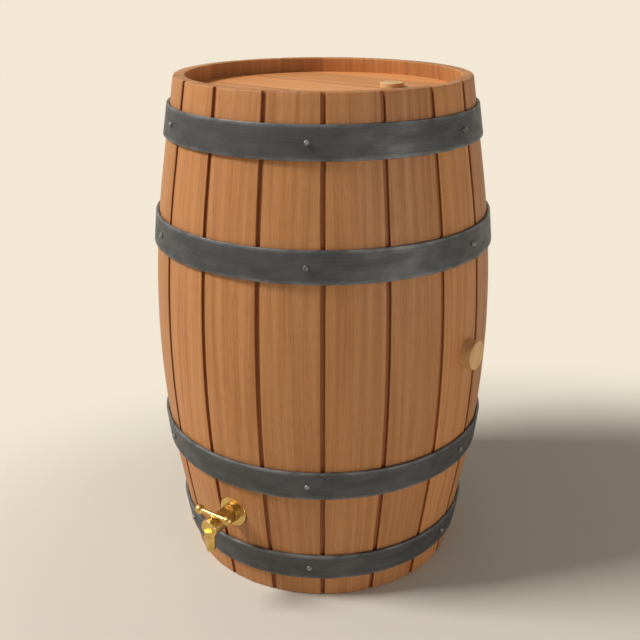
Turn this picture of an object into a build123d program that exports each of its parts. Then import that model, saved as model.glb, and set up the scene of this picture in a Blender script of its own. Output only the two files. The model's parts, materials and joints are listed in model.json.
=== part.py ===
from build123d import *

import os
from math import asin, cos, degrees, pi, radians, sin, sqrt, tan

# Oak barrel standing on one end, with four steel hoops, a bung in the top head, a bung in the side
# and a brass tap low on the front left. Millimetres, +Z up. The origin is the centre of the base.

# Cask: each stave is bent to one arc through its middle and stays straight at both ends
barrel_height = 950.0
bilge_diameter = 650.0
bend_radius = 1875.0
straight_end = 170.0

# Staves: the long outer edges are rebated, so a flat-floored recess runs down each joint
stave_count = 18
stave_thickness = 22.0
first_joint_angle = -90.0
recess_width = 8.0
recess_depth = 5.0
rim_chamfer = 2.0

# Heads: boards joined by tongue and groove, held by their thinned rim in a croze cut in the staves
head_recess = 28.0
head_thickness = 20.0
head_rim = 6.0
head_bevel = 12.0
croze_depth = 5.0
croze_clearance = 0.1
board_count = 5
outer_board_width = 82.0
board_angle = -37.5
board_chamfer = 1.2
tongue_width = 6.0
tongue_length = 5.0
tongue_clearance = 0.1

# Hoops: tapered steel bands, each closed by a riveted lap at the back; a setback is from the barrel's end
chime_hoop_setback = 76.0
quarter_hoop_setback = 271.0
hoop_width = 57.0
hoop_thickness = 5.5
hoop_clearance = 0.1
lap_angle = 115.0
lap_length = 56.0
lap_ramp = 16.0
lap_ramp_sink = 0.3
lap_rivet_distance = 28.0

# Hoop nails and lap rivets: forged eight-sided heads on square shanks
nail_count = 6
first_nail_angle = -95.0
nail_head_sides = 8
nail_head_diameter = 11.0
nail_head_height = 4.5
nail_head_chamfer = 2.6
nail_shank_width = 4.0
nail_depth = 14.0
nail_clearance = 0.05
nail_hole_spare = 1.0

# Bungs: tapered plugs in tapered holes
bung_taper = 3.0
bung_clearance = 0.1
bung_reach = 6.0
bung_chamfer = 1.5
bilge_bung_diameter = 55.0
bilge_bung_proud = 20.0
bilge_bung_angle = -36.0
bilge_bung_rise = 0.0
head_bung_diameter = 45.0
head_bung_proud = 8.0
head_bung_board = 4
head_bung_joint_distance = 29.3
head_bung_side_distance = 92.2

# Tap: a cast plug cock, screwed through one stave against a flat seat cut in the wood
tap_angle = -124.2
tap_height = 174.0
tap_bore = 7.0
shank_diameter = 26.0
shank_clearance = 0.5
shank_overrun = 4.0
flange_diameter = 60.0
flange_thickness = 5.0
flange_chamfer = 1.2
seat_margin = 1.0
seat_clearance = 0.6
collar_diameter = 37.0
collar_length = 10.5
neck_width = 25.0
neck_length = 21.0
neck_chamfer = 2.0
chest_diameter = 34.0
chest_chamfer = 2.0

# Outlet: a boss that stands half out of the chest's end, and the spout screwed up into it
outlet_offset = 11.2
outlet_end_distance = 5.0
outlet_boss_diameter = 22.0
outlet_boss_start = 4.0
outlet_boss_drop = 20.0
spout_drop = 47.0
spout_tip_diameter = 16.5
spout_bore = 11.0
spout_thread_diameter = 14.0
spout_thread_length = 7.0
thread_clearance = 0.05

# Rotating plug of the tap, tapered and ground into its seat in the chest, and the nut that holds it down
plug_setback = 22.3
plug_top_diameter = 12.0
plug_tip_diameter = 10.6
plug_clearance = 0.05
plug_drop = 8.5
plug_rise = 9.5
plug_floor_gap = 0.5
stem_diameter = 7.0
gland_depth = 4.0
gland_nut_width = 14.0
gland_nut_height = 3.0
gland_pad_margin = 1.0
nut_sides = 6

# T handle and its two ball ends, turned in flats; the tang is the square end of the plug's stem
handle_gap = 0.5
handle_span = 66.0
handle_bar_diameter = 9.0
handle_boss_diameter = 11.0
handle_boss_drop = 0.5
tang_width = 4.8
tang_length = 7.0
tang_clearance = 0.05
ball_diameter = 18.0
ball_flats = 12
spigot_diameter = 5.0
spigot_length = 9.0

# Washers and lock nut on the tap's shank
outer_gasket_thickness = 2.0
outer_gasket_diameter = 56.0
saddle_diameter = 46.0
saddle_least_thickness = 4.0
saddle_clearance = 0.1
washer_diameter = 42.0
washer_thickness = 1.6
lock_nut_width = 38.0
lock_nut_thickness = 9.0

# Values that follow from the sizes above; a rise is a height above the bilge, or above the tap's axis
half_height = barrel_height / 2
bilge_radius = bilge_diameter / 2
bend_centre = bilge_radius - bend_radius
end_slope = asin((half_height - straight_end) / bend_radius)
stave_angle = 360.0 / stave_count
overrun = 10.0


def bend_rise(depth=0.0):
    """Rise at which the surface that lies depth under the outside turns from its arc to straight."""
    return (bend_radius - depth) * sin(end_slope)


def skin_radius(rise, depth=0.0):
    """Radius at this rise of the surface that lies depth under the outside."""
    rise = abs(rise)
    radius = bend_radius - depth
    if rise <= bend_rise(depth):
        return bend_centre + sqrt(radius**2 - rise**2)
    return bend_centre + radius * cos(end_slope) - (rise - bend_rise(depth)) * tan(end_slope)


def skin_slope(rise):
    """Angle in degrees by which the outside leans inwards at this rise, negative below the bilge."""
    on_arc = max(-bend_rise(), min(bend_rise(), rise))
    return degrees(asin(on_arc / bend_radius))


def outward(angle, slope=0.0):
    """Unit vector that points out of the barrel at this angle, tipped up by slope."""
    turn, tip = radians(angle), radians(slope)
    return Vector(cos(turn) * cos(tip), sin(turn) * cos(tip), sin(tip))


def radial_plane(angle):
    """Upright plane through the axis, with x outwards at this angle and y up from the bilge."""
    out = outward(angle)
    return Plane(origin=(0, 0, half_height), x_dir=out, z_dir=out.cross(Vector(0, 0, 1)))


def skin_plane(angle, rise, proud=0.0):
    """Plane that lies flat on the outside of the barrel, raised by proud, and faces outwards."""
    normal = outward(angle, skin_slope(rise))
    foot = outward(angle) * skin_radius(rise) + Vector(0, 0, half_height + rise)
    return Plane(origin=foot + normal * proud, x_dir=outward(angle + 90), z_dir=normal)


def draw_skin(depth, reach):
    """Line of the surface that lies depth under the outside, over a rise of reach each way."""
    bend_end = (skin_radius(bend_rise(depth), depth), bend_rise(depth))
    tip = (skin_radius(reach, depth), reach)
    Line((tip[0], -tip[1]), (bend_end[0], -bend_end[1]))
    ThreePointArc((bend_end[0], -bend_end[1]), (bilge_radius - depth, 0), bend_end)
    Line(bend_end, tip)


def save(piece, name):
    piece.label = name
    export_step(piece, f"parts/{name}.step")


os.makedirs("parts", exist_ok=True)

# Where the heads, hoops, nails and tap meet the staves
croze_rise = half_height - head_recess
head_radius = skin_radius(croze_rise, stave_thickness) + croze_depth - croze_clearance
hoop_rises = {
    "chime_hoop_top": half_height - chime_hoop_setback,
    "quarter_hoop_top": half_height - quarter_hoop_setback,
    "quarter_hoop_bottom": quarter_hoop_setback - half_height,
    "chime_hoop_bottom": chime_hoop_setback - half_height,
}
nail_angles = [first_nail_angle + 360.0 / nail_count * turn for turn in range(nail_count)]
nail_hole_width = nail_shank_width + 2 * nail_clearance
tap_rise = tap_height - half_height
seat_reach = skin_radius(tap_rise - flange_diameter / 2) - seat_margin


def tap_plane(reach):
    """Plane square to the tap's axis, at this reach from the barrel's axis, facing outwards."""
    out = outward(tap_angle)
    return Plane(origin=out * reach + Vector(0, 0, tap_height), x_dir=outward(tap_angle + 90), z_dir=out)


def bung_radius(face_diameter, proud, out):
    """Radius, at a distance out of the wood, of a bung that measures face_diameter where it ends."""
    return face_diameter / 2 - (proud - out) * tan(radians(bung_taper))


def bung_hole(face_diameter, proud, wall):
    """Cut the tapered hole for a bung; the location lies twice the wall's thickness under its face."""
    Cone(
        bung_radius(face_diameter, proud, -2 * wall) + bung_clearance,
        bung_radius(face_diameter, proud, overrun) + bung_clearance,
        2 * wall + overrun,
        align=(Align.CENTER, Align.CENTER, Align.MIN),
        mode=Mode.SUBTRACT,
    )


def nail_hole(depth):
    """Punch a square hole straight in from the location to this depth."""
    Box(
        nail_hole_width,
        nail_hole_width,
        depth,
        align=(Align.CENTER, Align.CENTER, Align.MAX),
        mode=Mode.SUBTRACT,
    )


# Staves
def draw_stave_section():
    """A stave's section along its length, with its chamfered ends and the two crozes."""
    chamfer_rise = half_height - rim_chamfer
    lip_rise = croze_rise - head_rim
    croze_floor = head_radius + croze_clearance
    bends = []
    for depth in (0.0, stave_thickness):
        bends.append((skin_radius(bend_rise(depth), depth), bend_rise(depth)))
        start = (bends[-1][0], -bends[-1][1])
        ThreePointArc(start, (bilge_radius - depth, 0), bends[-1])
    for side in (1, -1):
        Polyline(
            (bends[0][0], side * bends[0][1]),
            (skin_radius(chamfer_rise), side * chamfer_rise),
            (skin_radius(half_height) - rim_chamfer, side * half_height),
            (skin_radius(half_height, stave_thickness) + rim_chamfer, side * half_height),
            (skin_radius(chamfer_rise, stave_thickness), side * chamfer_rise),
            (skin_radius(croze_rise, stave_thickness), side * croze_rise),
            (croze_floor, side * croze_rise),
            (croze_floor, side * lip_rise),
            (skin_radius(lip_rise, stave_thickness), side * lip_rise),
            (bends[1][0], side * bends[1][1]),
        )


def make_stave(start_angle):
    """One stave, from the joint at start_angle to the next one, with the holes that fall on it."""

    def carries(angle, radius):
        turned = (angle - start_angle - stave_angle / 2 + 180) % 360 - 180
        return abs(turned) < stave_angle / 2 + degrees(radius / skin_radius(half_height, stave_thickness))

    with BuildPart() as stave:
        with BuildSketch(radial_plane(start_angle)):
            with BuildLine():
                draw_stave_section()
            make_face()
        revolve(axis=Axis.Z, revolution_arc=stave_angle)
        # Half of the recess along each long edge
        for joint_angle in (start_angle, start_angle + stave_angle):
            with BuildSketch(radial_plane(joint_angle)):
                with BuildLine():
                    reach = half_height + overrun
                    inside = skin_radius(reach, recess_depth)
                    outside = bilge_radius + overrun
                    draw_skin(recess_depth, reach)
                    Polyline((inside, -reach), (outside, -reach), (outside, reach), (inside, reach))
                make_face()
            extrude(amount=recess_width / 2, both=True, mode=Mode.SUBTRACT)
        for angle in nail_angles:
            if carries(angle, nail_hole_width):
                with Locations([skin_plane(angle, rise) for rise in hoop_rises.values()]):
                    nail_hole(nail_depth + nail_hole_spare)
        if carries(bilge_bung_angle, bilge_bung_diameter / 2):
            with Locations(skin_plane(bilge_bung_angle, bilge_bung_rise, -2 * stave_thickness)):
                bung_hole(bilge_bung_diameter, bilge_bung_proud, stave_thickness)
        # Flat seat for the tap's flange, and the hole for its shank
        if carries(tap_angle, flange_diameter / 2 + seat_clearance):
            with Locations(tap_plane(seat_reach)):
                Cylinder(
                    flange_diameter / 2 + seat_clearance,
                    flange_diameter,
                    align=(Align.CENTER, Align.CENTER, Align.MIN),
                    mode=Mode.SUBTRACT,
                )
                Cylinder(shank_diameter / 2 + shank_clearance, 4 * stave_thickness, mode=Mode.SUBTRACT)
    return stave.part


for number in range(stave_count):
    save(make_stave(first_joint_angle + stave_angle * number), f"stave_{number + 1:02d}")


# Heads
board_plane = Plane.XY.rotated((0, 0, board_angle))
board_pitch = 2 * (head_radius - outer_board_width) / (board_count - 2)
joint_offsets = [(joint - board_count / 2) * board_pitch for joint in range(1, board_count)]
head_bung_offset = joint_offsets[head_bung_board - 2] + head_bung_joint_distance
head_bung_foot = board_plane.x_dir * head_bung_side_distance + board_plane.y_dir * head_bung_offset


def make_board(side, number):
    """One board of a head; side is 1 for the top head and -1 for the bottom one."""
    inner_rise = croze_rise - head_thickness
    bevel_start = head_radius - croze_depth
    edges = [-head_radius - overrun, *joint_offsets, head_radius + overrun]
    low, high = edges[number], edges[number + 1]
    middle_rise = side * (croze_rise - head_thickness / 2)
    with BuildPart() as board:
        # The whole head: flat outside, thin rim for the croze, bevel on the inside
        with BuildSketch(radial_plane(board_angle)):
            with BuildLine():
                Polyline(
                    (0, side * croze_rise),
                    (head_radius, side * croze_rise),
                    (head_radius, side * (croze_rise - head_rim)),
                    (bevel_start, side * (croze_rise - head_rim)),
                    (bevel_start - head_bevel, side * inner_rise),
                    (0, side * inner_rise),
                    close=True,
                )
            make_face()
        revolve(axis=Axis.Z)
        # Only this board's strip stays, with its tongue on one edge and its groove on the other
        with BuildSketch(radial_plane(board_angle + 90)):
            with Locations(((low + high) / 2, middle_rise)):
                Rectangle(high - low, 2 * head_thickness)
            if number < board_count - 1:
                with Locations((high + tongue_length / 2, middle_rise)):
                    Rectangle(tongue_length, tongue_width)
            if number > 0:
                groove = tongue_length + tongue_clearance
                with Locations((low + groove / 2, middle_rise)):
                    Rectangle(groove, tongue_width + 2 * tongue_clearance, mode=Mode.SUBTRACT)
        extrude(amount=head_radius + overrun, both=True, mode=Mode.INTERSECT)
        long_edges = board.edges().filter_by(Axis((0, 0, 0), board_plane.x_dir))
        chamfer(long_edges.group_by(Axis.Z)[-1 if side == 1 else 0], board_chamfer)
        if side == 1:
            with Locations(head_bung_foot + Vector(0, 0, half_height + croze_rise - 2 * head_thickness)):
                bung_hole(head_bung_diameter, head_bung_proud, head_thickness)
    return board.part


for head_name, side in (("head_top", 1), ("head_bottom", -1)):
    for number in range(board_count):
        save(make_board(side, number), f"{head_name}_board_{number + 1}")


# Hoops
def band_point(rise, out):
    """Point in a radial plane that stands out from the barrel's skin at this rise."""
    slope = radians(skin_slope(rise))
    return (skin_radius(rise) + out * cos(slope), rise + out * sin(slope))


def lap_rivet_angles(rise):
    half_pitch = degrees(lap_rivet_distance / 2 / skin_radius(rise))
    return (lap_angle - half_pitch, lap_angle + half_pitch)


def make_hoop(rise):
    """A conical band; its outer end lies over the inner one and runs out in a short ramp."""
    slope = skin_slope(rise)
    radius = skin_radius(rise)
    lap_turn, ramp_turn = degrees(lap_length / radius), degrees(lap_ramp / radius)
    ramp_start = lap_angle + lap_turn / 2
    with BuildPart() as hoop:
        with BuildSketch(radial_plane(lap_angle - lap_turn / 2)):
            with Locations(band_point(rise, hoop_clearance + 1.25 * hoop_thickness)):
                Rectangle(1.5 * hoop_thickness, hoop_width, rotation=slope)
        revolve(axis=Axis.Z, revolution_arc=lap_turn + ramp_turn)
        ramp_top = skin_plane(ramp_start, rise, hoop_clearance + 2 * hoop_thickness)
        ramp_foot = skin_plane(
            ramp_start + ramp_turn, rise, hoop_clearance + hoop_thickness - lap_ramp_sink
        )
        ramp_face = Plane(
            origin=ramp_top.origin,
            z_dir=(ramp_foot.origin - ramp_top.origin).cross(ramp_top.y_dir),
        )
        split(bisect_by=ramp_face, keep=Keep.BOTTOM)
        with BuildSketch(radial_plane(lap_angle)):
            with Locations(band_point(rise, hoop_clearance + hoop_thickness / 2)):
                Rectangle(hoop_thickness, hoop_width, rotation=slope)
        revolve(axis=Axis.Z)
        with Locations([skin_plane(angle, rise, hoop_clearance + hoop_thickness) for angle in nail_angles]):
            nail_hole(hoop_thickness + nail_hole_spare)
        lap_face = hoop_clearance + 2 * hoop_thickness
        with Locations([skin_plane(angle, rise, lap_face) for angle in lap_rivet_angles(rise)]):
            nail_hole(2 * hoop_thickness + nail_hole_spare)
    return hoop.part


# Nails and rivets
def make_stud(shank_length):
    """A faceted head standing on the XY plane, with its square shank below."""
    with BuildPart() as stud:
        with BuildSketch(Plane.XY):
            RegularPolygon(nail_head_diameter / 2, nail_head_sides)
        extrude(amount=nail_head_height)
        chamfer(stud.faces().sort_by(Axis.Z)[-1].edges(), nail_head_chamfer)
        with BuildSketch(Plane.XY):
            Rectangle(nail_shank_width, nail_shank_width)
        extrude(amount=-shank_length)
    return stud.part


nail = make_stud(hoop_clearance + hoop_thickness + nail_depth)
lap_rivet = make_stud(2 * hoop_thickness)

for hoop_name, rise in hoop_rises.items():
    save(make_hoop(rise), hoop_name)
    with BuildPart() as nails:
        with Locations([skin_plane(angle, rise, hoop_clearance + hoop_thickness) for angle in nail_angles]):
            add(nail)
    save(nails.part, hoop_name + "_nails")

with BuildPart() as lap_rivets:
    for rise in hoop_rises.values():
        lap_face = hoop_clearance + 2 * hoop_thickness
        with Locations([skin_plane(angle, rise, lap_face) for angle in lap_rivet_angles(rise)]):
            add(lap_rivet)
save(lap_rivets.part, "hoop_lap_rivets")


# Bungs
def make_bung(face_diameter, proud, wall):
    """A tapered plug with its wood-face plane on XY, pointing up, and its outer end chamfered."""
    inner = -wall - bung_reach
    with BuildPart() as bung:
        with BuildSketch(Plane.XZ):
            with BuildLine():
                Polyline(
                    (0, inner),
                    (bung_radius(face_diameter, proud, inner), inner),
                    (bung_radius(face_diameter, proud, proud - bung_chamfer), proud - bung_chamfer),
                    (face_diameter / 2 - bung_chamfer, proud),
                    (0, proud),
                    close=True,
                )
            make_face()
        revolve(axis=Axis.Z)
    return bung.part


bilge_bung = make_bung(bilge_bung_diameter, bilge_bung_proud, stave_thickness)
save(bilge_bung.moved(skin_plane(bilge_bung_angle, bilge_bung_rise).location), "bilge_bung")
head_bung = make_bung(head_bung_diameter, head_bung_proud, head_thickness)
save(head_bung.moved(Location(head_bung_foot + Vector(0, 0, half_height + croze_rise))), "head_bung")

# Tap pieces are drawn with x along the tap's axis from the barrel's axis, and z up from the tap's axis
tap_place = Location((0, 0, tap_height), (0, 0, tap_angle))
flange_back = seat_reach + outer_gasket_thickness
flange_front = flange_back + flange_thickness
neck_start = flange_front + collar_length
chest_start = neck_start + neck_length
plug_reach = chest_start + plug_setback
outlet_reach = plug_reach + outlet_offset
chest_end = outlet_reach + outlet_end_distance
saddle_face = skin_radius(tap_rise - saddle_diameter / 2, stave_thickness) - saddle_least_thickness
washer_face = saddle_face - washer_thickness
lock_nut_face = washer_face - lock_nut_thickness
shank_end = lock_nut_face - shank_overrun
gland_rise = plug_rise + gland_depth
tang_foot = gland_rise + gland_nut_height + handle_gap
handle_rise = tang_foot + handle_boss_drop + handle_bar_diameter / 2


def square_to_tap(reach):
    """Plane square to the tap's axis in the tap's own frame."""
    return Plane(origin=(reach, 0, 0), x_dir=(0, 1, 0), z_dir=(1, 0, 0))


def upright(reach, rise=0.0):
    """Level plane on the upright axis at this reach."""
    return Plane.XY.offset(rise).move(Location((reach, 0, 0)))


with BuildPart() as tap_body:
    # Along the tap's axis: shank, flange, collar, square neck for a spanner, and round chest
    with BuildSketch(square_to_tap(shank_end)):
        Circle(shank_diameter / 2)
    extrude(amount=flange_back - shank_end)
    with BuildSketch(square_to_tap(flange_back)):
        Circle(flange_diameter / 2)
    extrude(amount=flange_thickness)
    chamfer(tap_body.edges().group_by(Axis.X)[-1], flange_chamfer)
    with BuildSketch(square_to_tap(flange_front)):
        Circle(collar_diameter / 2)
    extrude(amount=collar_length)
    with BuildSketch(square_to_tap(neck_start)) as neck_section:
        Rectangle(neck_width, neck_width)
        chamfer(neck_section.vertices(), neck_chamfer)
    extrude(amount=neck_length)
    with BuildSketch(square_to_tap(chest_start)):
        Circle(chest_diameter / 2)
    extrude(amount=chest_end - chest_start)
    chamfer(tap_body.edges().group_by(Axis.X)[-1], chest_chamfer)
    with BuildSketch(upright(outlet_reach, -outlet_boss_drop)):
        Circle(outlet_boss_diameter / 2)
    extrude(amount=outlet_boss_drop - outlet_boss_start)
    # Way through the shank, neck and chest to the outlet
    with BuildSketch(square_to_tap(shank_end)):
        Circle(tap_bore / 2)
    extrude(amount=outlet_reach - shank_end, mode=Mode.SUBTRACT)
    # Tapered seat of the rotating plug, with the straight mouth of the gland above it
    seat_mouth = plug_top_diameter / 2 + plug_clearance
    with BuildSketch(Plane.XZ):
        with BuildLine():
            Polyline(
                (plug_reach, -plug_drop - plug_floor_gap),
                (plug_reach + plug_tip_diameter / 2 + plug_clearance, -plug_drop - plug_floor_gap),
                (plug_reach + plug_tip_diameter / 2 + plug_clearance, -plug_drop),
                (plug_reach + seat_mouth, plug_rise),
                (plug_reach + seat_mouth, gland_rise),
                (plug_reach, gland_rise),
                close=True,
            )
        make_face()
    revolve(axis=Axis((plug_reach, 0, 0), (0, 0, 1)), mode=Mode.SUBTRACT)
    # Flat pad on the chest for the gland nut
    with BuildSketch(upright(plug_reach, gland_rise)):
        Circle(gland_nut_width / 2 / cos(pi / nut_sides) + gland_pad_margin)
    extrude(amount=chest_diameter, mode=Mode.SUBTRACT)
    # Way down through the outlet boss, and the socket for the spout's thread
    with BuildSketch(upright(outlet_reach, -outlet_boss_drop)):
        Circle(tap_bore / 2)
    extrude(amount=outlet_boss_drop, mode=Mode.SUBTRACT)
    with BuildSketch(upright(outlet_reach, -outlet_boss_drop)):
        Circle(spout_thread_diameter / 2 + thread_clearance)
    extrude(amount=spout_thread_length, mode=Mode.SUBTRACT)
save(tap_body.part.moved(tap_place), "tap_body")

with BuildPart() as tap_spout:
    with BuildSketch(Plane.XZ):
        with BuildLine():
            Polyline(
                (spout_bore / 2, -outlet_boss_drop + spout_thread_length),
                (spout_thread_diameter / 2, -outlet_boss_drop + spout_thread_length),
                (spout_thread_diameter / 2, -outlet_boss_drop),
                (outlet_boss_diameter / 2, -outlet_boss_drop),
                (spout_tip_diameter / 2, -spout_drop),
                (spout_bore / 2, -spout_drop),
                close=True,
            )
        make_face()
    revolve(axis=Axis.Z)
save(tap_spout.part.moved(tap_place * Location((outlet_reach, 0, 0))), "tap_spout")

# Rotating plug: tapered, with a cross bore, a round stem and a square tang; closed, the bore lies crosswise
plug_place = tap_place * Location((plug_reach, 0, 0))
with BuildPart() as tap_plug:
    with BuildSketch(Plane.XZ):
        with BuildLine():
            Polyline(
                (0, -plug_drop),
                (plug_tip_diameter / 2, -plug_drop),
                (plug_top_diameter / 2, plug_rise),
                (stem_diameter / 2, plug_rise),
                (stem_diameter / 2, tang_foot),
                (0, tang_foot),
                close=True,
            )
        make_face()
    revolve(axis=Axis.Z)
    with BuildSketch(Plane.XY.offset(tang_foot)):
        Rectangle(tang_width, tang_width)
    extrude(amount=tang_length)
    with BuildSketch(Plane.XZ):
        Circle(tap_bore / 2)
    extrude(amount=plug_top_diameter, both=True, mode=Mode.SUBTRACT)
save(tap_plug.part.moved(plug_place), "tap_plug")

with BuildPart() as tap_gland_nut:
    with BuildSketch(Plane.XY.offset(gland_rise)):
        RegularPolygon(gland_nut_width / 2, nut_sides, major_radius=False)
    extrude(amount=gland_nut_height)
    with BuildSketch(Plane.XY.offset(plug_rise + plug_clearance)):
        Circle(plug_top_diameter / 2)
    extrude(amount=gland_depth - plug_clearance)
    with Locations((0, 0, gland_rise + gland_nut_height)):
        Hole(stem_diameter / 2 + plug_clearance)
save(tap_gland_nut.part.moved(plug_place), "tap_gland_nut")

# T handle: round bar with a boss under its middle; reduced ends take the balls
ball_flat = sqrt(ball_diameter**2 - handle_bar_diameter**2) / 2
bar_half = handle_span / 2 - ball_flat
with BuildPart() as tap_handle:
    with BuildSketch(Plane.XZ.offset(-bar_half)):
        with Locations((0, handle_rise)):
            Circle(handle_bar_diameter / 2)
    extrude(amount=2 * bar_half)
    with BuildSketch(Plane.XZ.offset(-bar_half - spigot_length)):
        with Locations((0, handle_rise)):
            Circle(spigot_diameter / 2)
    extrude(amount=2 * (bar_half + spigot_length))
    with BuildSketch(Plane.XY.offset(tang_foot)):
        Circle(handle_boss_diameter / 2)
    extrude(amount=handle_rise - tang_foot)
    with BuildSketch(Plane.XY.offset(tang_foot)):
        Rectangle(tang_width + 2 * tang_clearance, tang_width + 2 * tang_clearance)
    extrude(amount=tang_length + tang_clearance, mode=Mode.SUBTRACT)
save(tap_handle.part.moved(plug_place), "tap_handle")

with BuildPart() as tap_handle_balls:
    corner_radius = ball_diameter / 2 / cos(pi / ball_flats)
    corner_turns = [pi * (2 * flat + 1) / ball_flats for flat in range(ball_flats // 2)]
    for ball_middle in (-handle_span / 2, handle_span / 2):
        with BuildSketch(Plane.XY.offset(handle_rise)):
            with BuildLine():
                corners = [
                    (corner_radius * sin(turn), ball_middle + corner_radius * cos(turn))
                    for turn in corner_turns
                ]
                Polyline((0, corners[0][1]), *corners, (0, corners[-1][1]), close=True)
            make_face()
        revolve(axis=Axis((0, 0, handle_rise), (0, 1, 0)))
    # A flat where each ball meets the bar's shoulder, and the hole for the bar's reduced end
    with BuildSketch(Plane.XZ.offset(-bar_half)):
        with Locations((0, handle_rise)):
            Circle(ball_diameter)
    extrude(amount=2 * bar_half, mode=Mode.SUBTRACT)
    with BuildSketch(Plane.XZ.offset(-bar_half - spigot_length)):
        with Locations((0, handle_rise)):
            Circle(spigot_diameter / 2 + thread_clearance)
    extrude(amount=2 * (bar_half + spigot_length), mode=Mode.SUBTRACT)
save(tap_handle_balls.part.moved(plug_place), "tap_handle_balls")

# Flat gasket under the flange
with BuildPart() as tap_gasket:
    with BuildSketch(square_to_tap(seat_reach)):
        Circle(outer_gasket_diameter / 2)
        Circle(shank_diameter / 2 + thread_clearance, mode=Mode.SUBTRACT)
    extrude(amount=outer_gasket_thickness)
save(tap_gasket.part.moved(tap_place), "tap_gasket")

# Saddle gasket inside: its outer face is a cone that follows the staves, its inner face is flat
with BuildPart() as tap_saddle_gasket:
    with BuildSketch(square_to_tap(saddle_face)):
        Circle(saddle_diameter / 2)
        Circle(shank_diameter / 2 + thread_clearance, mode=Mode.SUBTRACT)
    extrude(amount=saddle_diameter)
    with BuildSketch(Plane.XZ):
        with BuildLine():
            depth = stave_thickness + saddle_clearance
            reach = saddle_diameter / 2 + overrun
            lower, upper = skin_radius(tap_rise - reach, depth), skin_radius(tap_rise + reach, depth)
            Polyline((0, -reach), (lower, -reach), (upper, reach), (0, reach), close=True)
        make_face()
    revolve(axis=Axis.Z, mode=Mode.INTERSECT)
save(tap_saddle_gasket.part.moved(tap_place), "tap_saddle_gasket")

with BuildPart() as tap_washer:
    with BuildSketch(square_to_tap(washer_face)):
        Circle(washer_diameter / 2)
        Circle(shank_diameter / 2 + thread_clearance, mode=Mode.SUBTRACT)
    extrude(amount=washer_thickness)
save(tap_washer.part.moved(tap_place), "tap_washer")

with BuildPart() as tap_lock_nut:
    with BuildSketch(square_to_tap(lock_nut_face)):
        RegularPolygon(lock_nut_width / 2, nut_sides, major_radius=False)
        Circle(shank_diameter / 2 + thread_clearance, mode=Mode.SUBTRACT)
    extrude(amount=lock_nut_thickness)
save(tap_lock_nut.part.moved(tap_place), "tap_lock_nut")
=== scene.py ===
import json
import random
from math import asin, atan2, cos, hypot, pi, radians, sin, sqrt, tan

import bmesh
import bpy
from mathutils import Matrix, Vector, noise

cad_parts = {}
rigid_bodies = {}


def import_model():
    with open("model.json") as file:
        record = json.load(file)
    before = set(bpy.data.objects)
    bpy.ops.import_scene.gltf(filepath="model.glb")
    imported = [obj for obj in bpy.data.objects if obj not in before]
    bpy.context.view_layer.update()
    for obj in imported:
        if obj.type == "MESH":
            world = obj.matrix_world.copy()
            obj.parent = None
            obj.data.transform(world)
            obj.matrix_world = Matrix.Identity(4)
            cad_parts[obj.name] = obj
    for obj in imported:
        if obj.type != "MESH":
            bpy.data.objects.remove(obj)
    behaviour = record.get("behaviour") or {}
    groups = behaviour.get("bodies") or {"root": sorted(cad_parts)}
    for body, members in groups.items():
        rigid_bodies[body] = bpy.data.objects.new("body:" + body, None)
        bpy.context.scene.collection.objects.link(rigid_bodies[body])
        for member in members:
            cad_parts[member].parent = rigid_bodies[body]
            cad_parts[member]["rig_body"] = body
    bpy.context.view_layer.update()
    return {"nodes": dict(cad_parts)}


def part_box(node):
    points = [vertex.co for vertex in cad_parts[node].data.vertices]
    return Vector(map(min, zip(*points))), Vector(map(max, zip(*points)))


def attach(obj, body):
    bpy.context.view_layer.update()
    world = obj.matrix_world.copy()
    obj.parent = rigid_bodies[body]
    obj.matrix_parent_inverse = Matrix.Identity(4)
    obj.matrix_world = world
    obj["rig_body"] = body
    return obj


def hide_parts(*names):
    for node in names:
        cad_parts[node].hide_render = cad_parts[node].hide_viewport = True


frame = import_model()
cad_nodes = frame["nodes"]

# Staves
# Eighteen quarter-sawn oak planks, bent to one arc that runs out straight at both ends. Their long outer
# edges are rebated, so a flat-floored recess runs down each joint, and a croze is cut round the inside near
# each end. The outside is shaved in two broad flats that meet in a soft ridge, and the wood is oiled.

barrel_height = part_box("stave_01")[1].z
half_height = barrel_height / 2
bilge_radius = 0.325
bend_radius = 1.875
straight_end = 0.170
end_slope = asin((half_height - straight_end) / bend_radius)
stave_count = 18
stave_angle = radians(360 / stave_count)
first_joint_angle = radians(-90)
stave_thickness = 0.022
recess_half_width = 0.004
recess_depth = 0.005
recess_corner = 0.0013
recess_floor_corner = 0.0004
joint_gap = 0.00001
rim_round = 0.0024
head_recess = 0.028
head_rim = 0.006
croze_depth = 0.005
station_spacing = 0.010
least_wall = 0.002
# How far under the recess floor the darkening of dirt and painted shade reaches
dirt_and_shade_reach = 0.002
shave_depth = 0.0003
shave_waves = (24, 7, 3.7)
hewn_share = 0.75
stave_crease = 38


def skin_radius(rise, depth=0.0):
    """Radius at this rise above the bilge of the surface that lies depth under the outside."""
    rise = abs(rise)
    radius = bend_radius - depth
    if rise <= radius * sin(end_slope):
        return bilge_radius - bend_radius + sqrt(radius**2 - rise**2)
    straight_rise = rise - radius * sin(end_slope)
    return bilge_radius - bend_radius + radius * cos(end_slope) - straight_rise * tan(end_slope)


def weld(mesh, share):
    """Turn a mesh's faces outwards, after joining points nearer than this share of its reach, if any."""
    reach = max(1.0, max(abs(part) for vertex in mesh.vertices for part in vertex.co))
    shell = bmesh.new()
    shell.from_mesh(mesh)
    if share:
        bmesh.ops.remove_doubles(shell, verts=shell.verts, dist=share * reach)
        bmesh.ops.dissolve_degenerate(shell, edges=shell.edges, dist=share * reach)
    bmesh.ops.recalc_face_normals(shell, faces=shell.faces)
    shell.to_mesh(mesh)
    shell.free()


def new_object(name, data):
    made = bpy.data.objects.new(name, data)
    bpy.context.scene.collection.objects.link(made)
    return made


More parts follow.
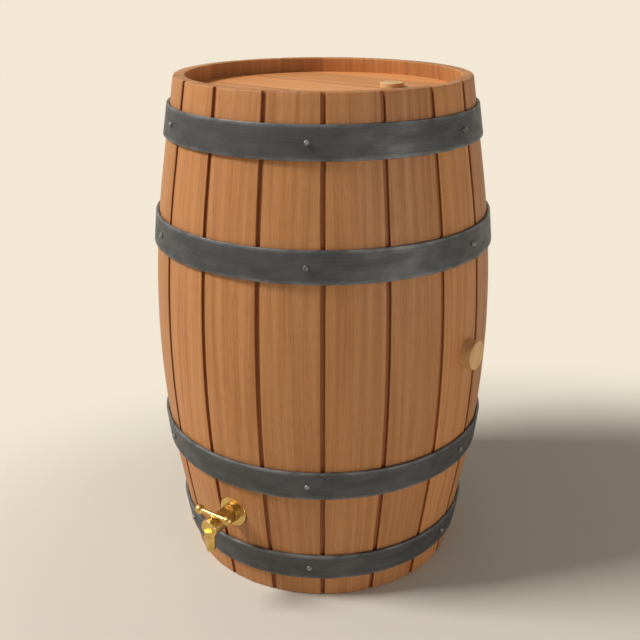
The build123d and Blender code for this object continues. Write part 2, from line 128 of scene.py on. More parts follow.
def mesh_piece(name, points, faces, crease=35, share=3e-7):
    """A piece from points and faces, shaded smooth up to the crease angle, with its faces outwards."""
    mesh = bpy.data.meshes.new(name)
    mesh.from_pydata([tuple(point) for point in points], [], faces)
    weld(mesh, share)
    piece = new_object(name, mesh)
    smooth(piece, crease)
    return piece


def add_values(mesh, name, values):
    """Store a number or a vector for each point of a mesh."""
    if isinstance(values[0], float):
        mesh.attributes.new(name, "FLOAT", "POINT").data.foreach_set("value", values)
    else:
        parts = [part for value in values for part in value]
        mesh.attributes.new(name, "FLOAT_VECTOR", "POINT").data.foreach_set("vector", parts)


def smooth(piece, crease):
    piece.data.shade_smooth()
    piece.data.set_sharp_from_angle(angle=radians(crease))


def settle(piece):
    """Turn a piece with modifiers, or one made by a node tree, into a plain mesh."""
    bpy.context.view_layer.update()
    graph = bpy.context.evaluated_depsgraph_get()
    mesh = bpy.data.meshes.new_from_object(
        piece.evaluated_get(graph), preserve_all_data_layers=True, depsgraph=graph
    )
    piece.modifiers.clear()
    piece.data = mesh


def carve(piece, tool, operation="DIFFERENCE"):
    """Cut another shape out of a piece, or join it on, and throw that shape away."""
    change = piece.modifiers.new("carve", "BOOLEAN")
    change.object = tool
    change.operation = operation
    change.solver = "EXACT"
    settle(piece)
    weld(piece.data, 1.5e-6)
    bpy.data.objects.remove(tool)


def ring_faces(rings, size, closed=False):
    """Faces between rings of size points each, and from the last ring back to the first if closed."""
    faces = []
    for row in range(rings if closed else rings - 1):
        here, after = row * size, (row + 1) % rings * size
        for spot in range(size):
            beside = (spot + 1) % size
            faces.append((here + spot, here + beside, after + beside, after + spot))
    return faces


def turned(name, outline, place, steps=96):
    """A piece turned from an outline of (radius, rise) about the upright axis of its place."""
    points = []
    for radius, rise in outline:
        for step in range(steps):
            turn = 2 * pi * step / steps
            points.append(place @ Vector((radius * cos(turn), radius * sin(turn), rise)))
    return mesh_piece(name, points, ring_faces(len(outline), steps, outline[0][0] > 0))


def rod(radius, low, high):
    """Outline of a plain round rod, to be turned."""
    return [(0, low), (radius, low), (radius, high), (0, high)]


def dress(piece, material):
    piece.data.materials.clear()
    piece.data.materials.append(material)


def stand_for(piece, node):
    """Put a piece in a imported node's place."""
    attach(piece, cad_nodes[node]["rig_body"])
    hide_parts(node)


def add_node(tree, kind, inputs=None, **settings):
    """Add a node; each of its inputs gets a value or is joined to another node's output."""
    made = tree.nodes.new(kind)
    for name, value in settings.items():
        setattr(made, name, value)
    for name, value in (inputs or {}).items():
        if isinstance(value, bpy.types.NodeSocket):
            tree.links.new(value, made.inputs[name])
        else:
            made.inputs[name].default_value = value
    return made


def shader(material, kind, inputs=None, **settings):
    return add_node(material.node_tree, "ShaderNode" + kind, inputs, **settings)


def new_finish(name):
    """A material and its surface shader."""
    material = bpy.data.materials.new(name)
    material.use_nodes = True
    return material, material.node_tree.nodes["Principled BSDF"]


def feed(surface, name, value):
    """Join another node's output to one of a surface shader's inputs."""
    surface.id_data.links.new(value, surface.inputs[name])


def emboss(material, surface, height, strength, depth):
    """Make a surface look raised by a height from 0 to 1, which stands for this depth."""
    bump = shader(material, "Bump", {"Height": height, "Strength": strength, "Distance": depth})
    feed(surface, "Normal", bump.outputs[0])


def own_value(material, name, output="Fac"):
    """What a piece has stored for its points under this name."""
    return shader(material, "Attribute", attribute_name=name).outputs[output]


def stretched_noise(material, place, scale, detail=2.0, roughness=0.5, distortion=0.0):
    """Noise of about one cell per unit after each axis is multiplied by scale."""
    spread = shader(material, "VectorMath", {0: place, 1: scale}, operation="MULTIPLY")
    inputs = {
        "Vector": spread.outputs[0],
        "Scale": 1.0,
        "Detail": detail,
        "Roughness": roughness,
        "Distortion": distortion,
    }
    return shader(material, "TexNoise", inputs).outputs["Fac"]


def between(material, value, low, high, to_low=0.0, to_high=1.0):
    """Value from low to high becomes to_low to to_high, smoothly and clamped."""
    inputs = {"Value": value, "From Min": low, "From Max": high, "To Min": to_low, "To Max": to_high}
    made = shader(material, "MapRange", inputs, interpolation_type="SMOOTHSTEP")
    return made.outputs["Result"]


def layer(material, share, under, over, blend="MIX"):
    """Colour over lies on colour under by this share."""
    inputs = {0: share, 6: under, 7: over}
    return shader(material, "Mix", inputs, data_type="RGBA", blend_type=blend).outputs[2]


def times(material, value, factor):
    return shader(material, "Math", {0: value, 1: factor}, operation="MULTIPLY").outputs[0]


def total(material, value, more):
    return shader(material, "Math", {0: value, 1: more}, operation="ADD").outputs[0]


def oak_finish(name, place, tone, pale, deep, pore, gloss=0.52):
    """Oak with rays, pores and grain. Its base colour is returned, for the caller to finish and feed in.

    place gives x across the plank, y along it and z through it, in metres, and tone is from 0 to 1.
    """
    wood, surface = new_finish(name)
    place, tone = place(wood), tone(wood)
    drift = stretched_noise(wood, place, (5.0, 1.3, 5.0), 1.0)
    sway = shader(wood, "VectorMath", {0: (0.030, 0.0, 0.030), "Scale": drift}, operation="SCALE")
    bent = shader(wood, "VectorMath", {0: place, 1: sway.outputs[0]}, operation="ADD").outputs[0]
    broad = stretched_noise(wood, bent, (95.0, 1.6, 60.0), 3.0, 0.55)
    fine = stretched_noise(wood, bent, (420.0, 4.0, 260.0), 3.0, 0.6)
    pores = stretched_noise(wood, bent, (1500.0, 38.0, 900.0), 1.0)
    flecks = stretched_noise(wood, bent, (70.0, 260.0, 70.0), 2.0, 0.6, 0.4)
    cloud = stretched_noise(wood, place, (9.0, 3.5, 9.0), 2.0)
    grain = total(wood, times(wood, broad, 0.62), times(wood, fine, 0.38))
    colour = layer(wood, between(wood, grain, 0.34, 0.66), deep, pale)
    colour = layer(wood, times(wood, between(wood, cloud, 0.35, 0.7), 0.35), colour, pale)
    colour = layer(wood, times(wood, between(wood, pores, 0.60, 0.74), 0.45), colour, pore)
    colour = layer(wood, times(wood, between(wood, flecks, 0.62, 0.72), 0.28), colour, pale)
    tint = between(wood, tone, 0.0, 1.0, 0.86, 1.10)
    colour = shader(wood, "VectorMath", {0: colour, "Scale": tint}, operation="SCALE").outputs[0]
    surface.inputs["Specular IOR Level"].default_value = 0.30
    feed(surface, "Roughness", between(wood, grain, 0.3, 0.7, gloss + 0.08, gloss - 0.04))
    height = total(wood, times(wood, fine, 0.5), times(wood, between(wood, pores, 0.60, 0.74), -0.5))
    emboss(wood, surface, height, 0.55, 0.0006)
    return wood, surface, colour


def plank_place(material):
    return own_value(material, "plank", "Vector")


def plank_tone(material):
    return own_value(material, "tone")


stave_pale = (0.535, 0.240, 0.088, 1.0)
stave_deep = (0.398, 0.159, 0.051, 1.0)
stave_pore = (0.210, 0.084, 0.031, 1.0)
recess_dirt_and_shade = (0.66, 0.50, 0.38, 1.0)

stave_oak, stave_surface, stave_colour = oak_finish(
    "stave_oak", plank_place, plank_tone, stave_pale, stave_deep, stave_pore
)
# The recesses down the joints are darkened, partly as dirt in the joints and partly as painted shade
stave_colour = layer(stave_oak, own_value(stave_oak, "recess"), stave_colour, recess_dirt_and_shade, "MULTIPLY")
feed(stave_surface, "Base Color", stave_colour)


def stave_outline():
    """One edge of a stave's section as points (away, depth), away being the distance from the joint."""
    corner_steps = 4
    edge = [(joint_gap, stave_thickness), (joint_gap, recess_depth)]
    edge.append((recess_half_width - recess_floor_corner, recess_depth))
    edge.append((recess_half_width, recess_depth - recess_floor_corner))
    for step in range(corner_steps + 1):
        turn = pi / 2 * step / corner_steps
        edge.append((recess_half_width + recess_corner * (1 - cos(turn)), recess_corner * (1 - sin(turn))))
    return edge


def stave_stations():
    """Rises and depths of a stave's rings, as (rise, outer depth, inner depth)."""
    croze_rise = half_height - head_recess
    lip_rise = croze_rise - head_rim
    rows = round(2 * lip_rise / station_spacing)
    stations = [(-lip_rise + 2 * lip_rise * row / rows, 0.0, stave_thickness) for row in range(rows + 1)]
    round_steps = 4
    for side in (1, -1):
        croze_floor = skin_radius(croze_rise, stave_thickness) + croze_depth
        end = [
            (lip_rise, 0.0, skin_radius(lip_rise) - croze_floor),
            (croze_rise, 0.0, skin_radius(croze_rise) - croze_floor),
            (croze_rise, 0.0, stave_thickness),
            ((croze_rise + half_height) / 2, 0.0, stave_thickness),
        ]
        for step in range(round_steps + 1):
            turn = pi / 2 * step / round_steps
            sunk = rim_round * (1 - cos(turn))
            end.append((half_height - rim_round * (1 - sin(turn)), sunk, stave_thickness - sunk))
        if side == 1:
            stations += end
        else:
            stations = [(-rise, outer, inner) for rise, outer, inner in reversed(end)] + stations
    return stations


def hewn_depth(turn, radius):
    """How far a stave's two flats lie inside the full round, at this turn from the stave's edge."""
    flat_angle = stave_angle / 2
    off_middle = turn % flat_angle - flat_angle / 2
    return hewn_share * radius * (1 - cos(flat_angle / 2) / cos(off_middle))


def make_stave(name, start, seed):
    """One stave's mesh, from the joint at the angle start to the next one."""
    edge = stave_outline()
    flat_steps, inner_steps = 12, 6
    stations = stave_stations()
    points = []
    for rise, outer, inner in stations:
        radius = skin_radius(rise)
        ring = []
        for side in (0, 1):
            for away, depth in edge if side == 0 else reversed(edge):
                turn = away / radius if side == 0 else stave_angle - away / radius
                sunk = inner if depth == stave_thickness else min(depth + outer, inner - least_wall)
                ring.append((turn, sunk))
            if side == 0:
                first = edge[-1][0] / radius
                last = stave_angle - first
                for step in range(1, flat_steps):
                    ring.append((first + (last - first) * step / flat_steps, outer))
        for step in range(1, inner_steps):
            ring.append((stave_angle * (1 - step / inner_steps), inner))
        for turn, depth in ring:
            if depth < recess_depth / 2:
                across = (turn - stave_angle / 2) * radius
                spot = Vector((across * shave_waves[0], rise * shave_waves[1], seed * shave_waves[2]))
                depth += shave_depth * (0.5 + 0.5 * noise.noise(spot)) + hewn_depth(turn, radius)
            reach = radius - depth
            points.append((reach * cos(start + turn), reach * sin(start + turn), half_height + rise))
    size = len(points) // len(stations)
    faces = ring_faces(len(stations), size)
    faces += [tuple(range(size)), tuple(range(len(points) - size, len(points)))]
    return mesh_piece(name, points, faces, stave_crease)


def set_grain(mesh, start, seed):
    """Store each point's place in its plank, the plank's tone, and how far it is inside a recess."""
    chance = random.Random(seed)
    shift = Vector((chance.uniform(0, 9), chance.uniform(0, 9), chance.uniform(0, 9)))
    tone = chance.random()
    planks, recess = [], []
    for vertex in mesh.vertices:
        point = vertex.co
        rise = point.z - half_height
        radius = skin_radius(rise)
        turn = (atan2(point.y, point.x) - start - stave_angle / 2 + pi) % (2 * pi) - pi
        depth = radius - hypot(point.x, point.y)
        planks.append(Vector((turn * radius, rise, depth)) + shift)
        away = (stave_angle / 2 - abs(turn)) * radius
        share = max(0.0, min(1.0, (recess_half_width + recess_corner - away) / recess_corner))
        at_end = abs(rise) > half_height - rim_round / 10
        recess.append(0.0 if at_end or depth > recess_depth + dirt_and_shade_reach else share)
    add_values(mesh, "plank", planks)
    add_values(mesh, "recess", recess)
    add_values(mesh, "tone", [tone] * len(planks))


# The third stave has the tapered hole for the side bung, and the seventeenth the flat seat for the tap and
# the hole for its shank
bung_taper = tan(radians(3))
bung_clearance = 0.0001
bilge_bung_radius = 0.0275
bilge_bung_proud = 0.020
bilge_bung_turn = Matrix.Rotation(radians(-36), 4, "Z")
bilge_bung_place = bilge_bung_turn @ Matrix.Translation((bilge_radius, 0, half_height))
bilge_bung_place = bilge_bung_place @ Matrix.Rotation(pi / 2, 4, "Y")
tap_height = 0.174
tap_rise = tap_height - half_height
tap_turn = Matrix.Rotation(radians(-124.2), 4, "Z")
tap_place = Matrix.Translation((0, 0, tap_height)) @ tap_turn
along_tap = tap_place @ Matrix.Rotation(pi / 2, 4, "Y")
flange_radius = 0.030
seat_margin = 0.001
seat_reach = skin_radius(tap_rise - flange_radius) - seat_margin
seat_clearance = 0.0006
shank_radius = 0.013
shank_clearance = 0.0005
bung_stave = 3
tap_stave = 17


def bung_hole(face_radius, proud, wall):
    """Outline of the cutter for a bung's tapered hole; the wood's face is at rise 0."""
    low, high = -2 * wall, proud
    low_radius = face_radius - (proud - low) * bung_taper + bung_clearance
    return [(0, low), (low_radius, low), (face_radius + bung_clearance, high), (0, high)]


for number in range(stave_count):
    start = first_joint_angle + stave_angle * number
    stave = make_stave(f"oak_stave_{number + 1:02d}", start, number)
    if number + 1 == bung_stave:
        cutter = bung_hole(bilge_bung_radius, bilge_bung_proud, stave_thickness)
        carve(stave, turned("bung_cutter", cutter, bilge_bung_place))
    if number + 1 == tap_stave:
        far = seat_reach + flange_radius
        seat = rod(flange_radius + seat_clearance, seat_reach, far)
        carve(stave, turned("seat_cutter", seat, along_tap))
        hole = rod(shank_radius + shank_clearance, seat_reach - 2 * stave_thickness, far)
        carve(stave, turned("shank_cutter", hole, along_tap))
    smooth(stave, stave_crease)
    set_grain(stave.data, start, number + 1)
    dress(stave, stave_oak)
    stand_for(stave, f"stave_{number + 1:02d}")

# Heads
# Two round heads of five planed oak boards each, tongued and grooved, their thinned rims held in the crozes.
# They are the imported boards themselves; each board has its own piece of grain, and the joints hold dirt.

board_pitch = 0.11815
board_angle = radians(-37.5)
head_pale = (0.735, 0.324, 0.114, 1.0)
head_deep = (0.595, 0.238, 0.074, 1.0)
head_pore = (0.320, 0.125, 0.045, 1.0)
joint_stain = (0.34, 0.24, 0.18, 1.0)


def own_place(material):
    """Place on the object, in metres."""
    return shader(material, "TexCoord").outputs["Object"]


def along_boards(material):
    """Place on the object, turned so that the boards run along x, as its three parts."""
    inputs = {"Vector": own_place(material), "Angle": -board_angle}
    level = shader(material, "VectorRotate", inputs, rotation_type="Z_AXIS")
    return shader(material, "SeparateXYZ", {0: level.outputs[0]}).outputs


def board_number(material):
    inputs = {0: along_boards(material)[1], 1: board_pitch}
    counted = shader(material, "Math", inputs, operation="DIVIDE").outputs[0]
    return shader(material, "Math", {0: total(material, counted, 0.5)}, operation="FLOOR").outputs[0]


def board_place(material):
    """Place in a board, with a different stretch of grain for each board."""
    x, y, z = along_boards(material)
    inputs = {0: (3.1, 1.7, 2.3), "Scale": board_number(material)}
    moved = shader(material, "VectorMath", inputs, operation="SCALE")
    across = shader(material, "CombineXYZ", {0: y, 1: x, 2: z})
    inputs = {0: across.outputs[0], 1: moved.outputs[0]}
    return shader(material, "VectorMath", inputs, operation="ADD").outputs[0]


def board_tone(material):
    made = shader(material, "TexWhiteNoise", {"W": board_number(material)}, noise_dimensions="1D")
    return made.outputs["Value"]


head_oak, head_surface, head_colour = oak_finish(
    "head_oak", board_place, board_tone, head_pale, head_deep, head_pore, 0.50
)
off_joint = total(head_oak, along_boards(head_oak)[1], board_pitch / 2)
off_joint = shader(head_oak, "Math", {0: off_joint, 1: board_pitch / 2}, operation="PINGPONG").outputs[0]
joint_dirt = between(head_oak, off_joint, 0.0009, 0.0024, 0.85, 0.0)
head_colour = layer(head_oak, joint_dirt, head_colour, joint_stain, "MULTIPLY")
feed(head_surface, "Base Color", head_colour)
for node_name, node in cad_nodes.items():
    if node_name.startswith(("head_top_board", "head_bottom_board")):
        dress(node, head_oak)

# Hoops
# Four bands of blackened flat steel, rolled to a cone, whose outer end lies over the inner one at the back.
# The faces carry faint rolling streaks, and the rounded edges are worn a little brighter.

hoop_rises = {
    "chime_hoop_top": 0.399,
    "quarter_hoop_top": 0.204,
    "quarter_hoop_bottom": -0.204,
    "chime_hoop_bottom": -0.399,
}
hoop_width = 0.057
hoop_thickness = 0.0055
hoop_clearance = 0.0001
hoop_edge_round = 0.0012
hoop_crease = 40
lap_angle = radians(115)
lap_length = 0.056
lap_ramp = 0.016
hoop_steps = 240


def skin_lean(rise):
    """Angle by which the outside leans inwards at this rise, negative below the bilge."""
    on_arc = max(-bend_radius * sin(end_slope), min(bend_radius * sin(end_slope), rise))
    return asin(on_arc / bend_radius)


def hoop_section():
    """Points round a hoop's section as (across, out, wear)."""
    half_width = hoop_width / 2 - hoop_edge_round
    corner_steps = 3
    section = []
    corners = (
        (half_width, hoop_thickness - hoop_edge_round, 0),
        (-half_width, hoop_thickness - hoop_edge_round, 1),
        (-half_width, hoop_edge_round, 2),
        (half_width, hoop_edge_round, 3),
    )
    for across, out, quarter in corners:
        for step in range(corner_steps + 1):
            turn = pi / 2 * (quarter + step / corner_steps)
            point = (across + hoop_edge_round * cos(turn), out + hoop_edge_round * sin(turn), 1.0)
            section.append(point)
        if quarter in (0, 2):
            side = 1 if quarter == 0 else -1
            for share in (0.8, 0.0, -0.8):
                section.append((side * share * half_width, out + side * hoop_edge_round, 0.0))
    return section


def make_hoop(name, rise):
    """A strip that starts on top of the lap, comes down its ramp and runs round to end under the lap.

    Its two layers touch there, so no points are joined.
    """
    radius = skin_radius(rise)
    lap_turn, ramp_turn = lap_length / radius, lap_ramp / radius
    start = lap_angle - lap_turn / 2
    whole = 2 * pi + lap_turn
    lean = skin_lean(rise)
    turns = [whole * step / hoop_steps for step in range(hoop_steps + 1)]
    turns += [lap_turn + ramp_turn * share for share in (0.0, 0.25, 0.5, 0.75, 1.0)]
    points, bands, wear = [], [], []
    section = hoop_section()
    for turn in sorted(turns):
        on_lap = 1 - max(0.0, min(1.0, (turn - lap_turn) / ramp_turn))
        lift = hoop_clearance + hoop_thickness * on_lap * on_lap * (3 - 2 * on_lap)
        for across, out, worn in section:
            stand = out + lift
            reach = radius + stand * cos(lean) - across * sin(lean)
            height = half_height + rise + stand * sin(lean) + across * cos(lean)
            angle = start + turn
            points.append((reach * cos(angle), reach * sin(angle), height))
            bands.append((turn * radius, across, stand))
            wear.append(worn)
    size = len(section)
    faces = ring_faces(len(turns), size)
    faces += [tuple(range(size)), tuple(range(len(points) - size, len(points)))]
    hoop = mesh_piece(name, points, faces, hoop_crease, share=0.0)
    add_values(hoop.data, "band", bands)
    add_values(hoop.data, "wear", wear)
    return hoop


def steel_finish(name, dark, bright, rust, rubbed, metallic, roughness):
    """Blackened steel, from a hoop's own place along the band, with streaks and rubbed edges."""
    steel, surface = new_finish(name)
    place = own_value(steel, "band", "Vector")
    streaks = stretched_noise(steel, place, (14.0, 700.0, 700.0), 2.0)
    blotches = stretched_noise(steel, place, (22.0, 40.0, 40.0), 4.0, 0.6)
    specks = stretched_noise(steel, place, (420.0, 420.0, 420.0), 2.0)
    shade = total(steel, times(steel, streaks, 0.35), times(steel, blotches, 0.65))
    colour = layer(steel, between(steel, shade, 0.35, 0.65), dark, bright)
    colour = layer(steel, times(steel, between(steel, specks, 0.66, 0.74), 0.30), colour, rust)
    wear = times(steel, own_value(steel, "wear"), between(steel, blotches, 0.35, 0.65, 0.10, 0.55))
    feed(surface, "Base Color", layer(steel, wear, colour, rubbed))
    feed(surface, "Roughness", between(steel, shade, 0.3, 0.7, roughness + 0.08, roughness - 0.06))
    surface.inputs["Metallic"].default_value = metallic
    height = total(steel, times(steel, streaks, 0.4), times(steel, specks, 0.6))
    emboss(steel, surface, height, 0.35, 0.0004)
    return steel


steel_dark = (0.050, 0.052, 0.054, 1.0)
steel_bright = (0.080, 0.083, 0.086, 1.0)
steel_rust = (0.10, 0.060, 0.038, 1.0)
steel_rubbed = (0.24, 0.25, 0.26, 1.0)
hoop_steel = steel_finish("hoop_steel", steel_dark, steel_bright, steel_rust, steel_rubbed, 0.35, 0.50)
for hoop_name, rise in hoop_rises.items():
    hoop = make_hoop(hoop_name + "_band", rise)
    dress(hoop, hoop_steel)
    stand_for(hoop, hoop_name)

# Nails and lap rivets
# Six forged nails hold each hoop to the staves, and two forged rivets close each lap at the back. Each has a
# hammered eight-sided head that is drawn in towards its top, on a square shank. The iron is worn half bright.

nail_count = 6
nail_start = radians(-95)
nail_head_radius = 0.0055
nail_head_height = 0.0045
nail_head_shoulder = 0.3
nail_head_top = 0.66
nail_head_sink = 0.04
nail_head_marks = 0.0008
nail_shank_width = 0.004
nail_depth = 0.014
rivet_count = 2
rivet_distance = 0.028
rivet_seed = 20
stud_crease = 28
iron_black = (0.10, 0.10, 0.10, 1.0)
iron_bare = (0.30, 0.30, 0.30, 1.0)
iron_rust = (0.13, 0.075, 0.045, 1.0)

nail_iron, iron_surface = new_finish("nail_iron")
iron_place = own_place(nail_iron)
hammered = stretched_noise(nail_iron, iron_place, (170.0, 170.0, 170.0), 3.0, 0.55)
scale_spots = stretched_noise(nail_iron, iron_place, (900.0, 900.0, 900.0), 2.0)
iron_colour = layer(nail_iron, between(nail_iron, hammered, 0.36, 0.62), iron_black, iron_bare)
rusted = times(nail_iron, between(nail_iron, scale_spots, 0.58, 0.70), 0.5)
feed(iron_surface, "Base Color", layer(nail_iron, rusted, iron_colour, iron_rust))
feed(iron_surface, "Roughness", between(nail_iron, hammered, 0.3, 0.7, 0.66, 0.50))
iron_surface.inputs["Metallic"].default_value = 0.40
iron_height = total(nail_iron, hammered, times(nail_iron, scale_spots, 0.4))
emboss(nail_iron, iron_surface, iron_height, 0.5, 0.0008)


def stud_tree():
    """A node tree that sets a ring of forged studs round the barrel, square to its skin."""
    tree = bpy.data.node_groups.new("forged_studs", "GeometryNodeTree")
    kinds = {"Count": "Int", "Seed": "Int", "Material": "Material"}
    names = ["Count", "First Angle", "Step", "Reach", "Height", "Lean", "Head Radius", "Head Height"]
    for name in names + ["Shank Width", "Shank Length", "Seed", "Material"]:
        kind = "NodeSocket" + kinds.get(name, "Float")
        tree.interface.new_socket(name=name, in_out="INPUT", socket_type=kind)
    tree.interface.new_socket(name="Geometry", in_out="OUTPUT", socket_type="NodeSocketGeometry")
    given = tree.nodes.new("NodeGroupInput").outputs

    def worked(operation, first, second):
        return add_node(tree, "ShaderNodeMath", {0: first, 1: second}, operation=operation).outputs[0]

    def vector(x, y, z):
        return add_node(tree, "ShaderNodeCombineXYZ", {0: x, 1: y, 2: z}).outputs[0]

    # The head: an eight-sided drum whose upper part is drawn in, softened by one subdivision
    sides = {"Vertices": 8, "Side Segments": 3, "Radius": given["Head Radius"], "Depth": given["Head Height"]}
    drum = add_node(tree, "GeometryNodeMeshCylinder", sides).outputs["Mesh"]
    corner = tree.nodes.new("GeometryNodeInputPosition").outputs[0]
    x, y, z = add_node(tree, "ShaderNodeSeparateXYZ", {0: corner}).outputs
    up = worked("ADD", worked("DIVIDE", z, given["Head Height"]), 0.5)
    draw = {"Value": up, "From Min": nail_head_shoulder, "To Min": 1.0, "To Max": nail_head_top}
    share = add_node(tree, "ShaderNodeMapRange", draw).outputs["Result"]
    seated = worked("ADD", z, worked("MULTIPLY", given["Head Height"], 0.5 - nail_head_sink))
    drawn = vector(worked("MULTIPLY", x, share), worked("MULTIPLY", y, share), seated)
    head = add_node(tree, "GeometryNodeSetPosition", {"Geometry": drum, "Position": drawn}).outputs[0]
    softened = {"Mesh": head, "Level": 1, "Edge Crease": 0.55}
    head = add_node(tree, "GeometryNodeSubdivisionSurface", softened).outputs[0]
    width = given["Shank Width"]
    shank_size = vector(width, width, given["Shank Length"])
    shank = add_node(tree, "GeometryNodeMeshCube", {"Size": shank_size}).outputs["Mesh"]
    sunk = vector(0.0, 0.0, worked("MULTIPLY", given["Shank Length"], -0.5))
    shank = add_node(tree, "GeometryNodeTransform", {"Geometry": shank, "Translation": sunk}).outputs[0]
    stud = tree.nodes.new("GeometryNodeJoinGeometry")
    tree.links.new(head, stud.inputs[0])
    tree.links.new(shank, stud.inputs[0])
    # One stud at each angle, pointing out of the barrel and turned at random on its own axis
    place = tree.nodes.new("GeometryNodeInputIndex").outputs[0]
    angle = worked("ADD", given["First Angle"], worked("MULTIPLY", place, given["Step"]))
    across = worked("MULTIPLY", given["Reach"], worked("COSINE", angle, 0.0))
    along = worked("MULTIPLY", given["Reach"], worked("SINE", angle, 0.0))
    spots = {"Count": given["Count"], "Position": vector(across, along, given["Height"])}
    ring = add_node(tree, "GeometryNodePoints", spots).outputs[0]
    outwards = vector(0.0, worked("SUBTRACT", pi / 2, given["Lean"]), angle)
    set_studs = {"Points": ring, "Instance": stud.outputs[0], "Rotation": outwards}
    studs = add_node(tree, "GeometryNodeInstanceOnPoints", set_studs).outputs[0]
    spin = add_node(tree, "FunctionNodeRandomValue", {2: 0.0, 3: 2 * pi, 8: given["Seed"]}).outputs[1]
    spun = {"Instances": studs, "Rotation": vector(0.0, 0.0, spin)}
    studs = add_node(tree, "GeometryNodeRotateInstances", spun).outputs[0]
    # Hammer marks push each corner a little out of place
    studs = add_node(tree, "GeometryNodeRealizeInstances", {0: studs}).outputs[0]
    marks = {"Scale": 260.0, "Detail": 1.0, "W": given["Seed"]}
    marks = add_node(tree, "ShaderNodeTexNoise", marks, noise_dimensions="4D").outputs["Color"]
    centred = {0: marks, 1: (0.5, 0.5, 0.5)}
    centred = add_node(tree, "ShaderNodeVectorMath", centred, operation="SUBTRACT").outputs[0]
    shift = {0: centred, "Scale": nail_head_marks}
    shift = add_node(tree, "ShaderNodeVectorMath", shift, operation="SCALE").outputs[0]
    studs = add_node(tree, "GeometryNodeSetPosition", {"Geometry": studs, "Offset": shift}).outputs[0]
    finished = add_node(tree, "GeometryNodeSetMaterial", {"Geometry": studs, "Material": given["Material"]})
    end = tree.nodes.new("NodeGroupOutput")
    tree.links.new(finished.outputs[0], end.inputs[0])
    return tree


forged_studs = stud_tree()
stud_items = forged_studs.interface.items_tree
stud_sockets = {item.name: item.identifier for item in stud_items if item.in_out == "INPUT"}


def set_ring(name, count, first_angle, step, rise, stand, shank_length, seed):
    """A ring of studs at this rise, whose heads stand on a face that lies stand above the staves."""
    lean = skin_lean(rise)
    values = {
        "Count": count,
        "First Angle": first_angle,
        "Step": step,
        "Reach": skin_radius(rise) + stand * cos(lean),
        "Height": half_height + rise + stand * sin(lean),
        "Lean": lean,
        "Head Radius": nail_head_radius,
        "Head Height": nail_head_height,
        "Shank Width": nail_shank_width,
        "Shank Length": shank_length,
        "Seed": seed,
        "Material": nail_iron,
    }
    ring = new_object(name, bpy.data.meshes.new(name))
    change = ring.modifiers.new("studs", "NODES")
    change.node_group = forged_studs
    for socket, value in values.items():
        change[stud_sockets[socket]] = value
    settle(ring)
    smooth(ring, stud_crease)
    return ring


def joined(name, pieces):
    """One piece from the meshes of several, which are thrown away."""
    shell = bmesh.new()
    for piece in pieces:
        shell.from_mesh(piece.data)
    mesh = bpy.data.meshes.new(name)
    shell.to_mesh(mesh)
    shell.free()
    for material in pieces[0].data.materials:
        mesh.materials.append(material)
    for piece in pieces:
        bpy.data.objects.remove(piece)
    return new_object(name, mesh)


hoop_face = hoop_clearance + hoop_thickness
lap_face = hoop_face + hoop_thickness
rivet_rings = []
for number, (hoop_name, rise) in enumerate(hoop_rises.items()):
    step = 2 * pi / nail_count
    name, length = hoop_name + "_forged_nails", hoop_face + nail_depth
    nails = set_ring(name, nail_count, nail_start, step, rise, hoop_face, length, number)
    stand_for(nails, hoop_name + "_nails")
    spread = rivet_distance / skin_radius(rise)
    first, length, seed = lap_angle - spread / 2, 2 * hoop_thickness, rivet_seed + number
    rivet_rings.append(set_ring("rivets", rivet_count, first, spread, rise, lap_face, length, seed))
lap_rivets = joined("forged_lap_rivets", rivet_rings)
smooth(lap_rivets, stud_crease)
stand_for(lap_rivets, "hoop_lap_rivets")

# Bungs
# Two tapered plugs turned from paler wood, one driven into the side and one into the top head. The rim of
# each is rounded over, the face is turned a little hollow, and the grain runs across it.

bung_pale = (0.720, 0.450, 0.205, 1.0)
bung_deep = (0.570, 0.325, 0.135, 1.0)
bung_pore = (0.300, 0.150, 0.062, 1.0)
bung_overreach = 0.006
bung_edge = 0.0022
bung_inner_edge = 0.0012
bung_hollow = 0.0004
head_bung_radius = 0.0225
head_bung_proud = 0.008
head_thickness = 0.020
head_bung_place = Matrix.Translation((0.12694, 0.01398, barrel_height - head_recess))

bung_oak, bung_surface, bung_colour = oak_finish(
    "bung_oak", plank_place, plank_tone, bung_pale, bung_deep, bung_pore, 0.46
)
feed(bung_surface, "Base Color", bung_colour)


def rounded(outline, edges, steps=5):
    """An outline whose listed corners, given as {place in the outline: size}, are rounded over."""
    made = []
    for spot, corner in enumerate(outline):
        size = edges.get(spot, 0.0)
        if not size:
            made.append(corner)
            continue
        middle = Vector(corner)
        before = Vector(outline[spot - 1]) - middle
        after = Vector(outline[(spot + 1) % len(outline)]) - middle
        first, last = middle + before.normalized() * size, middle + after.normalized() * size
        for step in range(steps + 1):
            share = step / steps
            made.append(tuple(first.lerp(middle, share).lerp(middle.lerp(last, share), share)))
    return made


def make_bung(name, face_radius, proud, wall, place, grain_turn, grain_start):
    """A bung in its place; the wood's face is at rise 0 of the place."""
    inner = -wall - bung_overreach
    outline = [(0, inner), (face_radius - (proud - inner) * bung_taper, inner), (face_radius, proud)]
    outline += [(face_radius * share, proud + bung_hollow * share * share) for share in (0.85, 0.6, 0.35)]
    outline = rounded(outline + [(0, proud)], {1: bung_inner_edge, 2: bung_edge})
    bung = turned(name, outline, place)
    away = (place @ Matrix.Rotation(grain_turn, 4, "Z")).inverted()
    planks = [away @ vertex.co + Vector((grain_start, 0, 0)) for vertex in bung.data.vertices]
    add_values(bung.data, "plank", planks)
    add_values(bung.data, "tone", [0.5] * len(planks))
    dress(bung, bung_oak)
    return bung


